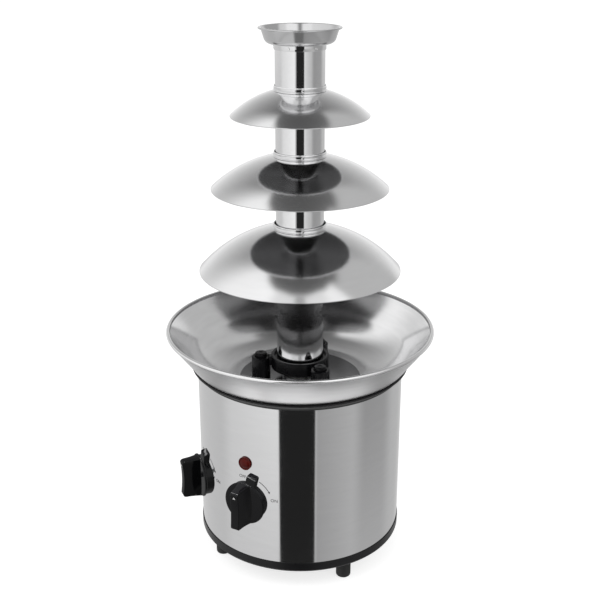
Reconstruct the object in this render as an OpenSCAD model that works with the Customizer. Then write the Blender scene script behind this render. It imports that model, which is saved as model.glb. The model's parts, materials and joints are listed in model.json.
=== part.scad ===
// Four-level chocolate fountain: a heated steel bowl on a drum-shaped body, with a lift-off tower
// of three domes and a cup around a motor-driven screw. Millimetres, floor at z = 0, +Z up.
// Angles are counted from the front (-Y) towards +X.

/* [Stand] */
// Height of the feet below the base pan
foot_h = 22; // [12:1:30]
// Diameter of a foot
foot_d = 15; // [12:1:20]
// Distance between the feet across the stand
foot_span_a = 132; // [100:1:140]
// Distance between the feet along the stand
foot_span_b = 119; // [100:1:140]
// Turn of the foot pattern
foot_turn = 30; // [0:0.5:45]
// Height of the black ring of the base pan
base_h = 10; // [8:1:16]
// Thickness of the floor of the base pan
pan_t = 3; // [2:0.5:4]
// Radius of the pan's lower edge
pan_edge_r = 2.5; // [1:0.5:4]

/* [Body] */
// Outer diameter of the steel wrap
wrap_d = 209; // [200:1:216]
// Height of the steel wrap
wrap_h = 169; // [155:1:190]
// Sheet thickness of the wrap
wrap_t = 0.8; // [0.6:0.1:1.2]
// How far the black rings stand proud of the wrap
ring_proud = 0.7; // [0.3:0.1:1.5]
// Height of the black top ring above the wrap
ring_h = 7; // [6:0.5:8]
// How far the top ring flares outwards
ring_flare = 5.2; // [4.6:0.2:7]
// Depth of the lips that the rings push inside the wrap
ring_lip_h = 6; // [4:1:9]
// Wall of those lips
ring_lip_t = 2.2; // [1.6:0.2:2.6]

/* [Bowl] */
// Diameter over the rolled rim
bowl_d = 270; // [262:1:280]
// Depth from the rim to the floor
bowl_depth = 56.5; // [53:0.5:62]
// Diameter of the flat floor
bowl_floor_d = 124; // [122:1:128]
// How far the floor lies below the top of the black ring
bowl_sink = 19; // [18:0.5:20]
// Sheet thickness of the bowl
bowl_t = 1; // [0.8:0.1:1.4]
// Inside radius of the dished part
bowl_dish_r = 62; // [60:1:64]
// Slope of the bowl's wall above level
bowl_wall_a = 58; // [54:1:60]
// Radius of the rolled rim
bowl_rim_r = 2; // [1.5:0.1:2.5]

/* [Tower] */
// Outside diameter of the tower tube
tube_d = 47; // [44:0.5:48]
// Wall of the tube
tube_t = 0.8; // [0.6:0.1:1]
// Top of the tube above the bowl floor
tube_top = 334.2; // [320:1:350]
// Gap below the tower seat where the chocolate flows in
seat_gap = 11; // [8:0.5:14]
// Height of the seat ring
seat_h = 13.5; // [11:0.5:16]
// Wall of the seat ring
seat_wall = 6; // [5:0.5:7]
// Thickness of the lip under the tube
seat_lip = 2; // [1.5:0.5:3]
// Width of the arms of the seat
seat_arm_w = 9; // [7:0.5:12]
// Diameter of the sleeves over the posts
sleeve_d = 19; // [17:0.5:19.5]
// Radius of the circle of posts
post_circle = 40; // [39:0.5:42]
// Diameter of a post
post_d = 12; // [10:0.5:13]
// How far the posts stand above the sleeves
post_proud = 4; // [2:0.5:6]
// Turn of the posts
post_turn = 78; // [60:0.5:90]
// Diameter of the threaded foot of a post
stud_d = 6; // [5:0.5:7]

/* [Tiers] */
// Diameter of the lower dome
lower_d = 199; // [190:1:205]
// Height of the lower dome
lower_h = 43; // [38:1:46]
// Top of the lower dome above the bowl floor
lower_top = 159; // [152:1:164]
// Diameter of the middle dome
middle_d = 172; // [160:1:180]
// Height of the middle dome
middle_h = 32; // [28:1:36]
// Top of the middle dome above the bowl floor
middle_top = 230; // [224:1:236]
// Diameter of the upper dome
upper_d = 132.6; // [124:0.2:140]
// Height of the upper dome
upper_h = 24.2; // [21:0.2:28]
// Top of the upper dome above the bowl floor
upper_top = 292; // [286:1:298]
// Sheet thickness of domes, collars and cup
dome_t = 0.8; // [0.6:0.1:1]
// Radius of the rolled edge of the domes
hem_r = 1; // [0.8:0.1:1.4]
// Height of a collar above its dome
collar_h = 5; // [4:0.5:7]
// How far a collar reaches below the top of its dome
collar_tail = 3; // [2.5:0.5:5]
// Wall of the collars
collar_t = 0.6; // [0.5:0.1:0.8]
// Gain in collar radius from each dome to the one below it
collar_step = 0.6; // [0.6:0.1:0.9]
// Diameter of the seat pips on the tube
pip_d = 4; // [3:0.5:5]

/* [Cup] */
// Diameter over the cup's lip
cup_d = 78; // [74:1:82]
// Depth of the cup
cup_h = 15; // [13:0.5:18]
// Diameter of the cup's flat floor
cup_floor_d = 54; // [52:1:56]
// Width of the lip
cup_lip = 3.4; // [2.6:0.2:4]
// Inside radius of the curve at the cup's foot
cup_foot_r = 6; // [5:0.5:7]
// Length of the cup's collar over the tube
cup_collar_h = 5; // [4:0.5:9]

/* [Screw and drive] */
// Diameter of the screw's flight
flight_d = 43.2; // [40:0.2:43.4]
// Rise of the flight in one turn
flight_pitch = 34; // [28:1:40]
// Thickness of the flight
flight_t = 2.4; // [1.8:0.2:3.2]
// Diameter of the screw's core
core_d = 12; // [10:0.5:14]
// Diameter of the hub at the screw's foot
hub_d = 19; // [17:0.5:22]
// Height of the hub
hub_h = 29; // [26:1:36]
// How far the flight ends below the top of the tube
flight_drop = 9; // [6:1:14]
// Diameter of the drive shaft
shaft_d = 10; // [8:0.5:11]
// How far the drive shaft stands above the bowl floor
shaft_rise = 24; // [20:1:26]
// Diameter of the cross pin
pin_d = 3; // [2.5:0.5:4]
// Length of the cross pin
pin_l = 16; // [14:0.5:16.5]
// Height of the cross pin above the bowl floor
pin_rise = 10; // [9:0.5:12]
// Diameter of the shaft bush
bush_d = 24; // [21:0.5:26]
// Diameter of the flange of the bush
bush_flange_d = 36; // [32:1:38]
// Thickness of the flange of the bush
bush_flange_t = 3; // [2:0.5:3.5]
// Length of the bush below the bowl floor
bush_l = 22; // [18:1:26]
// Outside diameter of the shaft seal
seal_d = 17; // [15:0.5:18]
// Height of the shaft seal
seal_h = 5; // [4:0.5:7]
// Height of the nut below the bowl
bush_nut_h = 8; // [6:0.5:10]
// Width of that nut over its flats
bush_nut_w = 32; // [30:0.5:34]
// Diameter of the shaft coupling
coupling_d = 20; // [16:0.5:22]
// Length of the shaft coupling
coupling_l = 22; // [18:1:26]
// Diameter of the motor's own shaft
motor_shaft_d = 8; // [6:0.5:8.5]

/* [Motor] */
// Distance from the bowl floor down to the motor bracket
bracket_drop = 68; // [64:1:74]
// Diameter of the motor bracket
bracket_d = 136; // [130:1:150]
// Sheet thickness of the bracket
bracket_t = 2; // [1.5:0.5:3]
// Diameter of the gear case
gear_d = 84; // [76:1:86]
// Height of the gear case
gear_h = 24; // [20:1:28]
// Diameter of the motor can
can_d = 62; // [54:1:68]
// Height of the motor can
can_h = 42; // [36:1:46]
// Radius of the circle of gear case screws
gear_screw_circle = 34; // [30:0.5:34.5]
// Diameter of the tie rods
rod_d = 6; // [5:0.5:7]
// Radius of the circle of tie rods
rod_circle = 57; // [56.5:0.5:57.5]
// Turn of the tie rods
rod_turn = 60; // [50:1:70]
// Width of the rod nuts over their flats
rod_nut_w = 10; // [9:0.5:11]
// Height of the rod nuts
rod_nut_h = 5; // [4:0.5:5]

/* [Heater] */
// Diameter of the heater plate
heater_d = 104; // [101:0.5:105]
// Thickness of the heater plate
heater_t = 4; // [3:0.5:5]
// Diameter of the hole in the heater plate
heater_hole_d = 40; // [38:0.5:42]
// Diameter of the ring of the heating element
element_d = 56; // [54:0.5:56]
// Thickness of the heating element
element_t = 8; // [6:0.5:8]
// Open part of the ring, in degrees
element_gap = 50; // [40:1:60]
// Diameter of the thermostat
thermostat_d = 16; // [14:0.5:17]
// Height of the thermostat
thermostat_h = 9; // [7:0.5:12]
// Length of the thermal fuse
fuse_l = 22; // [18:1:26]
// Diameter of the thermal fuse
fuse_d = 6; // [5:0.5:7]

/* [Controls] */
// Height of the knobs above the underside of the base pan
knob_z = 75; // [70:1:90]
// Turn of each knob away from the front
knob_turn = 19; // [17:0.5:26]
// Diameter of the knobs
knob_d = 44; // [40:1:46]
// Thickness of the knob's skirt
skirt_t = 2; // [1.5:0.5:3]
// How far the knob's grip stands out of the wrap
grip_out = 27; // [25:0.5:31]
// Width of the grip at its foot
grip_foot_w = 18; // [14:0.5:20]
// Width of the grip at its edge
grip_edge_w = 9; // [7:0.5:11]
// Taper of each end of the grip
grip_taper = 1; // [0.5:0.5:3]
// Hollow of the grip's edge
grip_waist = 2; // [1:0.5:3]
// Diameter of the bezels
bezel_d = 41; // [39:1:43]
// Thickness of the bezels
bezel_t = 5.5; // [5:0.5:7]
// How far the tab reaches beyond its bezel
tab_out = 10; // [7:0.5:10.5]
// Width of the tab
tab_w = 10.5; // [8:0.5:12]
// Turn of the tab from the top of the bezel
tab_turn = 14; // [10:1:20]
// Slope of the tab's end
tab_slope = 29; // [10:1:35]
// Diameter of the switch spindles
spindle_d = 6; // [5:0.5:6]
// Width of the switches
switch_w = 28; // [26:1:32]
// Depth of the switches
switch_depth = 22; // [18:1:26]
// Diameter of the necks of the switches
neck_d = 10; // [9.5:0.5:12]
// Distance between the two screws of a switch
switch_screw_span = 21; // [20:0.5:22]
// Diameter of the switch screws
switch_screw_d = 3; // [2.5:0.5:3.5]
// Turn of the lamp away from the front
lamp_turn = 17.5; // [16:0.5:26]
// Height of the lamp above the knobs
lamp_rise = 40; // [39:1:50]
// Diameter of the lamp's lens
lens_d = 13.6; // [11:0.2:15]
// Diameter of the lamp's barrel
barrel_d = 10; // [8:0.5:10]
// Length of the lamp's barrel behind the wrap
barrel_l = 22; // [18:1:26]

/* [Supply] */
// Diameter of the hole in the cord bushing
cord_d = 7.2; // [6:0.2:8]
// Diameter of the flanges of the cord bushing
bushing_d = 17; // [16:0.5:20]
// Distance of the cord bushing from the middle of the base pan
bushing_out = 80; // [76:1:84]
// Thickness of the flanges of the cord bushing
bushing_flange_t = 3; // [2:0.5:3.5]
// How far the cord bushing reaches above the floor of the base pan
bushing_tail = 6; // [5:0.5:8]
// Length of the terminal block
block_l = 36; // [30:1:40]
// Width of the terminal block
block_w = 18; // [15:1:20]
// Height of the terminal block
block_h = 15; // [12:1:18]
// Distance of the terminal block from the middle
block_out = 72; // [68:1:78]
// Turn of the terminal block
block_turn = 130; // [120:1:140]

/* [Fits] */
// Gap of a running fit
run_fit = 0.05; // [0.03:0.01:0.1]
// Gap between fixed pieces
fix_fit = 0.1; // [0.05:0.05:0.2]
// Gap between lift-off pieces and their seats
lift_fit = 0.3; // [0.2:0.05:0.4]

/* [Hidden] */
$fn = 96;

wrap_r = wrap_d / 2;
wrap_in_r = wrap_r - wrap_t;
wrap_z = foot_h + base_h;
ring_z = wrap_z + wrap_h;
ring_top = ring_z + ring_h;
lip_r = wrap_in_r - fix_fit;

floor_z = ring_top - bowl_sink;
bowl_under = floor_z - bowl_t;
bowl_floor_r = bowl_floor_d / 2;
bowl_rim_z = floor_z + bowl_depth;
dish_c = [bowl_floor_r, floor_z + bowl_dish_r];
dish_end = dish_c + bowl_dish_r * [sin(bowl_wall_a), -cos(bowl_wall_a)];
rim_c = [bowl_d / 2 - bowl_rim_r, bowl_rim_z - bowl_rim_r];

tube_r = tube_d / 2;
tube_in_r = tube_r - tube_t;
seat_z = floor_z + seat_gap;
tube_z = seat_z + seat_lip;
tube_end = floor_z + tube_top;
seat_top = seat_z + seat_h;
seat_r = tube_r + seat_wall;
sleeve_top = seat_top - 2.5;
post_top = sleeve_top + post_proud;

upper_collar_r = tube_r + lift_fit;
middle_collar_r = upper_collar_r + collar_step;
lower_collar_r = middle_collar_r + collar_step;
pip_catch = collar_step - 0.2;

cup_z = tube_end + lift_fit;

core_z = floor_z + bush_flange_t + lift_fit;
core_top = tube_end - 5;
flight_z = core_z + 4;
flight_end = tube_end - flight_drop;

bracket_z = floor_z - bracket_drop;
gear_z = bracket_z - gear_h;
can_z = gear_z - can_h;
coupling_z = bracket_z + 14;
coupling_mid = coupling_z + coupling_l / 2;

heater_z = bowl_under - heater_t;
element_z = heater_z - element_t / 2;

pan_z = foot_h + pan_t;
bushing_r = bushing_d / 2;
bushing_neck_r = bushing_r - 2;
control_z = foot_h + knob_z;
lamp_z = control_z + lamp_rise;
bezel_r = bezel_d / 2;
skirt_z = bezel_t + 0.6;
grip_z = skirt_z + skirt_t;
switch_face = sqrt(pow(wrap_in_r, 2) - pow(switch_w / 2, 2)) - wrap_r - fix_fit;
screw_floor = 2.4;
thread_gap = 0.05;
case_screw_d = 4;
case_head_d = 8;
case_head_h = 3;
screw_room = 2;
foot_screw_grip = 12;
gear_screw_grip = 10;
stud_l = 9;
post_nut_w = 10;
post_nut_h = 5;
rod_tail = 2;

// A point of the foot pattern
function foot_spot(i) = [(i % 2 == 0 ? 1 : -1) * foot_span_a / 2, (i < 2 ? 1 : -1) * foot_span_b / 2, 0];

// Height of the centre of the sphere through two points of a profile
function cap_centre(r0, z0, r1, z1) = (z0 * z0 - z1 * z1 + r0 * r0 - r1 * r1) / (2 * (z0 - z1));

// Direction at an angle from straight down, in a profile
function down(a) = [sin(a), -cos(a)];

// Place at an angle from the front and a distance from the axis
module around(a, out = 0) {
    rotate([0, 0, a]) translate([0, -out, 0]) children();
}

// Three or more copies round the axis
module circle_of(n, turn, out) {
    for (i = [0 : n - 1]) around(turn + i * 360 / n, out) children();
}

// Place on the wrap: x to the right, y up, z outwards
module on_wrap(a, z) {
    rotate([0, 0, a]) translate([0, -wrap_r, z]) rotate([90, 0, 0]) children();
}

// The wrap's own cylinder, seen from a place on the wrap
module wrap_core(r) {
    translate([0, 0, -wrap_r]) rotate([90, 0, 0]) cylinder(r = r, h = wrap_h, center = true);
}

// Band of even thickness along an arc of a profile
module arc_band(c, r, t, a0, a1) {
    reach = 3 * r;
    intersection() {
        translate(c) difference() {
            circle(r = r + t);
            circle(r = r);
        }
        polygon([c, c + reach * down(a0), c + reach * down(a1)]);
    }
}

// Pipe along z
module pipe(r_out, r_in, h) {
    difference() {
        cylinder(r = r_out, h = h);
        translate([0, 0, -1]) cylinder(r = r_in, h = h + 2);
    }
}

// Hexagon nut along z
module nut(w, bore, h) {
    difference() {
        cylinder(r = w / sqrt(3), h = h, $fn = 6);
        translate([0, 0, -1]) cylinder(d = bore, h = h + 2, $fn = 48);
    }
}

// Round-headed screw with its shank down from z = 0
module screw(d, l, head_d, head_h) {
    translate([0, 0, -l]) cylinder(d = d, h = l + head_h / 2);
    cylinder(d = head_d, h = head_h);
}

module base_pan() {
    outer = wrap_r + ring_proud;
    slot_w = 4;
    slot_l = 20;
    slot_out = 24;
    color("#1d1d1f") difference() {
        rotate_extrude() difference() {
            union() {
                translate([0, foot_h + pan_edge_r]) square([outer, base_h - pan_edge_r]);
                translate([0, foot_h]) square([outer - pan_edge_r, base_h]);
                translate([outer - pan_edge_r, foot_h + pan_edge_r]) circle(r = pan_edge_r);
                translate([0, wrap_z - 1]) square([lip_r, ring_lip_h + 1]);
            }
            translate([-1, pan_z]) square([lip_r - ring_lip_t + 1, base_h + ring_lip_h]);
        }
        rotate([0, 0, foot_turn]) for (i = [0 : 3]) translate(foot_spot(i))
            translate([0, 0, foot_h - 1]) cylinder(d = case_screw_d + 4 * fix_fit, h = pan_t + 2);
        circle_of(3, rod_turn, rod_circle) translate([0, 0, foot_h - 1])
            cylinder(d = rod_d + 2 * fix_fit, h = pan_t + 2);
        circle_of(12, 0, slot_out) translate([-slot_w / 2, -slot_l, foot_h - 1])
            cube([slot_w, slot_l, pan_t + 2]);
        around(block_turn, block_out) for (s = [-1, 1])
            translate([s * block_l / 4, 0, foot_h - 1]) cylinder(d = 3 + 2 * thread_gap, h = pan_t + 2);
        around(180, bushing_out) translate([0, 0, foot_h - 1])
            cylinder(r = bushing_neck_r + fix_fit, h = pan_t + 2);
    }
}

module feet() {
    edge = 2;
    foot_r = foot_d / 2;
    color("#18181a") rotate([0, 0, foot_turn]) for (i = [0 : 3]) translate(foot_spot(i)) difference() {
        rotate_extrude() intersection() {
            union() {
                translate([0, edge]) square([foot_r, foot_h - edge]);
                square([foot_r - edge, foot_h]);
                translate([foot_r - edge, edge]) circle(r = edge);
            }
            square([foot_r, foot_h]);
        }
        translate([0, 0, foot_h - foot_screw_grip - screw_room])
            cylinder(d = case_screw_d + 2 * thread_gap, h = foot_screw_grip + screw_room + 1);
    }
}

module foot_screws() {
    color("#b8bbbe") rotate([0, 0, foot_turn]) for (i = [0 : 3]) translate(foot_spot(i))
        translate([0, 0, pan_z]) screw(case_screw_d, pan_t + foot_screw_grip, case_head_d, case_head_h);
}

module body_wrap() {
    color("#c9ccce") difference() {
        translate([0, 0, wrap_z]) pipe(wrap_r, wrap_in_r, wrap_h);
        for (s = [-1, 1]) on_wrap(s * knob_turn, control_z) {
            translate([0, 0, -10]) cylinder(d = neck_d + 2 * fix_fit, h = 20);
            for (x = [-1, 1]) translate([x * switch_screw_span / 2, 0, -10])
                cylinder(d = switch_screw_d + 2 * fix_fit, h = 20);
        }
        on_wrap(lamp_turn, lamp_z) translate([0, 0, -10]) cylinder(d = barrel_d + 2 * fix_fit, h = 20);
    }
}

module top_ring() {
    low_r = wrap_r + ring_proud;
    hollow_r = bowl_dish_r + bowl_t + fix_fit;
    hollow_edge = bowl_floor_r + sqrt(pow(hollow_r, 2) - pow(bowl_dish_r - bowl_sink, 2));
    edge_r = max(low_r + ring_flare, hollow_edge + ring_lip_t);
    color("#1b1b1d") rotate_extrude() difference() {
        union() {
            translate([lip_r - ring_lip_t, ring_z - ring_lip_h]) square([ring_lip_t, ring_lip_h + 1]);
            polygon([[lip_r - ring_lip_t, ring_z], [low_r, ring_z], [edge_r, ring_top],
                [lip_r - ring_lip_t, ring_top]]);
        }
        translate(dish_c) circle(r = hollow_r, $fn = 240);
    }
}

module bowl() {
    wall = bowl_t * [cos(bowl_wall_a), sin(bowl_wall_a)];
    outer_end = dish_c + (bowl_dish_r + bowl_t) * down(bowl_wall_a);
    color("#d2d4d6") difference() {
        rotate_extrude($fn = 192) {
            translate([0, bowl_under]) square([bowl_floor_r, bowl_t]);
            arc_band(dish_c, bowl_dish_r, bowl_t, 0, bowl_wall_a);
            polygon([dish_end, outer_end, rim_c + [0, -bowl_rim_r / 2], rim_c + [-bowl_rim_r / 2, 0]]);
            translate(rim_c) circle(r = bowl_rim_r, $fn = 48);
        }
        translate([0, 0, bowl_under - 1]) cylinder(d = bush_d + 2 * fix_fit, h = bowl_t + 2);
        circle_of(3, post_turn, post_circle) translate([0, 0, bowl_under - 1])
            cylinder(d = stud_d + 2 * fix_fit, h = bowl_t + 2);
    }
}

module tower_posts() {
    tip = 1.2;
    color("#161618") circle_of(3, post_turn, post_circle) {
        rotate_extrude() polygon([[0, floor_z], [post_d / 2, floor_z], [post_d / 2, post_top - tip],
            [post_d / 2 - tip, post_top], [0, post_top]]);
        translate([0, 0, bowl_under - stud_l]) cylinder(d = stud_d, h = stud_l + bowl_t + tip / 2);
    }
}

module post_nuts() {
    color("#b0b3b6") circle_of(3, post_turn, post_circle)
        translate([0, 0, bowl_under - post_nut_h]) nut(post_nut_w, stud_d + 2 * thread_gap, post_nut_h);
}

module shaft_bush() {
    color("#b9bcbf") difference() {
        union() {
            translate([0, 0, floor_z - bush_l]) cylinder(d = bush_d, h = bush_l + 1);
            translate([0, 0, floor_z]) cylinder(d = bush_flange_d, h = bush_flange_t);
        }
        translate([0, 0, floor_z - bush_l - 1]) cylinder(d = shaft_d + 2 * run_fit, h = bush_l + 20);
        translate([0, 0, floor_z + bush_flange_t - seal_h])
            cylinder(d = seal_d + 2 * thread_gap, h = seal_h + 1);
    }
}

module shaft_seal() {
    color("#2a2a2c") translate([0, 0, floor_z + bush_flange_t - seal_h])
        pipe(seal_d / 2, shaft_d / 2 + run_fit, seal_h);
}

module bush_nut() {
    color("#b9bcbf") translate([0, 0, bowl_under - bush_nut_h])
        nut(bush_nut_w, bush_d + 2 * thread_gap, bush_nut_h);
}

module heater_plate() {
    color("#a9acae") difference() {
        translate([0, 0, heater_z]) pipe(heater_d / 2, heater_hole_d / 2, heater_t);
        circle_of(3, post_turn, post_circle) translate([0, 0, heater_z - 1]) cylinder(d = 14, h = heater_t + 2);
    }
}

module heater_element() {
    pin = 12;
    rear = 90 + element_gap / 2;
    color("#8f8a84") rotate([0, 0, rear]) {
        rotate_extrude(angle = 360 - element_gap) translate([element_d / 2, element_z]) circle(d = element_t);
        translate([element_d / 2, 1, element_z]) rotate([90, 0, 0]) cylinder(d = 3, h = pin);
        rotate([0, 0, 360 - element_gap]) translate([element_d / 2, -1, element_z])
            rotate([-90, 0, 0]) cylinder(d = 3, h = pin);
    }
}

module thermostat() {
    out = heater_d / 2 - thermostat_d / 2 - 1;
    color("#d8d4c8") around(post_turn + 60, out) {
        translate([0, 0, heater_z - thermostat_h]) cylinder(d = thermostat_d, h = thermostat_h);
        for (s = [-1, 1]) translate([s * thermostat_d / 4 - 2, -0.4, heater_z - thermostat_h - 7])
            cube([4, 0.8, 8]);
    }
}

module thermal_fuse() {
    color("#d9cfae") around(post_turn - 60, heater_d / 2 - fuse_d) {
        translate([-fuse_l / 2, 0, heater_z - fuse_d / 2]) rotate([0, 90, 0]) cylinder(d = fuse_d, h = fuse_l);
        for (s = [-1, 1]) translate([s * (fuse_l / 2 + 3), 0, heater_z - fuse_d / 2])
            rotate([0, 90, 0]) cylinder(d = 1.2, h = 8, center = true);
    }
}

module motor_bracket() {
    window_r = (gear_d / 2 + rod_circle - rod_nut_w) / 2;
    color("#aeb2b5") difference() {
        translate([0, 0, bracket_z]) pipe(bracket_d / 2, motor_shaft_d, bracket_t);
        circle_of(3, rod_turn, rod_circle) translate([0, 0, bracket_z - 1])
            cylinder(d = rod_d + 2 * fix_fit, h = bracket_t + 2);
        circle_of(4, rod_turn + 15, gear_screw_circle) translate([0, 0, bracket_z - 1])
            cylinder(d = case_screw_d + 2 * fix_fit, h = bracket_t + 2);
        circle_of(3, rod_turn + 60, window_r) translate([0, 0, bracket_z - 1])
            cylinder(d = 16, h = bracket_t + 2);
    }
}

module gear_case() {
    boss_r = motor_shaft_d;
    rib_w = 3;
    color("#9fa3a6") difference() {
        union() {
            translate([0, 0, gear_z]) cylinder(d = gear_d - 6, h = gear_h);
            translate([0, 0, gear_z + gear_h - 6]) cylinder(d = gear_d, h = 6);
            translate([0, 0, bracket_z - 1]) cylinder(r = boss_r - fix_fit, h = bracket_t + 4);
            circle_of(8, rod_turn, 0) translate([-rib_w / 2, -gear_d / 2 + 1, gear_z + 3])
                cube([rib_w, gear_d / 2 - 5, gear_h - 6]);
        }
        translate([0, 0, gear_z + 6]) cylinder(d = motor_shaft_d + 2 * run_fit, h = gear_h + 10);
        circle_of(4, rod_turn + 15, gear_screw_circle)
            translate([0, 0, bracket_z - gear_screw_grip - screw_room])
                cylinder(d = case_screw_d + 2 * thread_gap, h = gear_screw_grip + screw_room + 1);
    }
}

module motor_can() {
    cap = 3;
    color("#b9bcbf") {
        translate([0, 0, can_z + cap]) cylinder(d = can_d, h = can_h - cap);
        translate([0, 0, can_z]) cylinder(d = can_d - 8, h = cap + 1);
        translate([0, 0, can_z - 4]) cylinder(d = 18, h = 5);
    }
}

module gear_screws() {
    color("#b8bbbe") circle_of(4, rod_turn + 15, gear_screw_circle)
        translate([0, 0, bracket_z + bracket_t])
            screw(case_screw_d, bracket_t + gear_screw_grip, case_head_d, case_head_h);
}

module tie_rods() {
    rod_z = foot_h - rod_nut_h - rod_tail;
    color("#b5b8bb") circle_of(3, rod_turn, rod_circle)
        translate([0, 0, rod_z]) cylinder(d = rod_d, h = bowl_under - rod_z);
}

module rod_nuts() {
    color("#adb0b3") circle_of(3, rod_turn, rod_circle)
        for (z = [foot_h - rod_nut_h, bracket_z - rod_nut_h, bracket_z + bracket_t])
            translate([0, 0, z]) nut(rod_nut_w, rod_d + 2 * thread_gap, rod_nut_h);
}

// Rotary switch behind the wrap, with its threaded neck through the sheet
module rotary_switch(a) {
    on_wrap(a, control_z) difference() {
        union() {
            translate([-switch_w / 2, -switch_w / 2, switch_face - switch_depth])
                cube([switch_w, switch_w, switch_depth]);
            translate([0, 0, switch_face - 1]) cylinder(d = neck_d, h = 4 - switch_face);
            for (x = [-1, 1], y = [-1, 1]) translate([x * 8 - 3, y * 8 - 0.4, switch_face - switch_depth - 8])
                cube([6, 0.8, 9]);
        }
        translate([0, 0, switch_face - switch_depth + 3]) cylinder(d = spindle_d + 2 * run_fit, h = 60);
        for (x = [-1, 1]) translate([x * switch_screw_span / 2, 0, switch_face - 9])
            cylinder(d = switch_screw_d + 2 * thread_gap, h = 20);
    }
}

module motor_switch() {
    color("#e4e2da") rotary_switch(-knob_turn);
}

module heat_switch() {
    color("#e4e2da") rotary_switch(knob_turn);
}

module switch_screws() {
    color("#b8bbbe") for (s = [-1, 1], x = [-1, 1]) on_wrap(s * knob_turn, control_z)
        translate([x * switch_screw_span / 2, 0, screw_floor])
            screw(switch_screw_d, screw_floor - switch_face + 6, 5.6, 2.2);
}

// Fixed ring behind a knob, with its tab near the top and a sloped end on the tab
module bezel(a) {
    tab_r = tab_w / 2;
    tab_end = bezel_r + tab_out;
    corner = tab_w / 5;
    slope_foot = 1;
    on_wrap(a, control_z) difference() {
        translate([0, 0, -3]) linear_extrude(3 + bezel_t) {
            circle(r = bezel_r);
            rotate(-tab_turn) polygon([[-tab_r, bezel_r / 2], [tab_r, bezel_r / 2], [tab_r, tab_end - corner],
                [tab_r - corner, tab_end], [corner - tab_r, tab_end], [-tab_r, tab_end - corner]]);
        }
        wrap_core(wrap_r);
        rotate(-tab_turn) translate([-tab_w, tab_end, slope_foot]) rotate([tab_slope, 0, 0])
            cube([2 * tab_w, tab_out, 2 * bezel_t]);
        translate([0, 0, -4]) cylinder(d = neck_d + 2 * fix_fit, h = bezel_t + 5);
        for (x = [-1, 1]) translate([x * switch_screw_span / 2, 0, -4]) {
            cylinder(d = switch_screw_d + 2 * fix_fit, h = bezel_t + 5);
            translate([0, 0, 4 + screw_floor]) cylinder(d = 6, h = bezel_t);
        }
    }
}

module motor_bezel() {
    color("#131314") bezel(-knob_turn);
}

module heat_bezel() {
    color("#131314") bezel(knob_turn);
}

// Knob with a skirt and a waisted wing grip
module knob(a) {
    knob_r = knob_d / 2;
    edge_l = knob_r - grip_taper;
    waist_r = (edge_l * edge_l + grip_waist * grip_waist) / (2 * grip_waist);
    grip_foot = grip_z - 1;
    on_wrap(a, control_z) difference() {
        union() {
            translate([0, 0, skirt_z]) rotate_extrude() polygon([[0, 0], [knob_r, 0], [knob_r, skirt_t - 1],
                [knob_r - 1, skirt_t], [0, skirt_t]]);
            intersection() {
                rotate([90, 0, 0]) linear_extrude(knob_d, center = true)
                    polygon([[-grip_foot_w / 2, grip_foot], [grip_foot_w / 2, grip_foot],
                        [grip_edge_w / 2, grip_out], [-grip_edge_w / 2, grip_out]]);
                rotate([90, 0, 90]) linear_extrude(knob_d, center = true) difference() {
                    polygon([[-knob_r, grip_foot], [knob_r, grip_foot], [edge_l, grip_out],
                        [-edge_l, grip_out]]);
                    translate([0, grip_out + waist_r - grip_waist]) circle(r = waist_r, $fn = 180);
                }
                translate([0, 0, skirt_z]) cylinder(r = knob_r - 0.5, h = grip_out);
            }
        }
        translate([0, 0, skirt_z - 1]) cylinder(d = spindle_d + 2 * thread_gap, h = 11);
    }
}

// Spindle with a flat for its knob
module spindle(a) {
    foot = switch_face - switch_depth + 4;
    on_wrap(a, control_z) difference() {
        translate([0, 0, foot]) cylinder(d = spindle_d, h = skirt_z + 9 - foot);
        translate([spindle_d / 4, -spindle_d, bezel_t]) cube([spindle_d, 2 * spindle_d, 20]);
    }
}

module motor_knob() {
    color("#111112") knob(-knob_turn);
}

module motor_spindle() {
    color("#c0c2c4") spindle(-knob_turn);
}

module heat_knob() {
    color("#111112") knob(knob_turn);
}

module heat_spindle() {
    color("#c0c2c4") spindle(knob_turn);
}

module lamp_lens() {
    crown = 1.4;
    base = 1.4;
    lens_r = lens_d / 2;
    crown_r = (lens_r * lens_r + crown * crown) / (2 * crown);
    color("#7d1512") on_wrap(lamp_turn, lamp_z) difference() {
        union() {
            intersection() {
                translate([0, 0, -2]) cylinder(r = lens_r, h = 2 + base + crown);
                translate([0, 0, base + crown - crown_r]) sphere(r = crown_r, $fn = 180);
            }
            translate([0, 0, -2]) cylinder(d = barrel_d, h = 3);
        }
        difference() {
            wrap_core(wrap_r);
            translate([0, 0, -3]) cylinder(d = barrel_d, h = 8);
        }
    }
}

module lamp_barrel() {
    color("#e9e6de") on_wrap(lamp_turn, lamp_z) {
        translate([0, 0, -2 - barrel_l]) cylinder(d = barrel_d, h = barrel_l);
        for (s = [-1, 1]) translate([s * 2.2 - 1.5, -0.4, -2 - barrel_l - 7]) cube([3, 0.8, 8]);
    }
}

module lamp_clip() {
    sheet = 1;
    color("#a5a8ab") on_wrap(lamp_turn, lamp_z)
        translate([0, 0, -2.6 - sheet]) pipe(lens_d / 2 + 0.6, barrel_d / 2 + fix_fit, sheet);
}

module terminal_block() {
    poles = 3;
    step = block_l / poles;
    color("#e8e6df") around(block_turn, block_out) difference() {
        translate([-block_l / 2, -block_w / 2, pan_z]) cube([block_l, block_w, block_h]);
        for (i = [0 : poles - 1])
            translate([-block_l / 2 + (i + 0.5) * step, -block_w, pan_z + block_h / 2 + 2])
                rotate([-90, 0, 0]) cylinder(d = 4, h = 2 * block_w);
        for (s = [-1, 1]) translate([s * block_l / 4, 0, pan_z - 1])
            cylinder(d = 3 + 2 * thread_gap, h = block_h + 2);
    }
}

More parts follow.
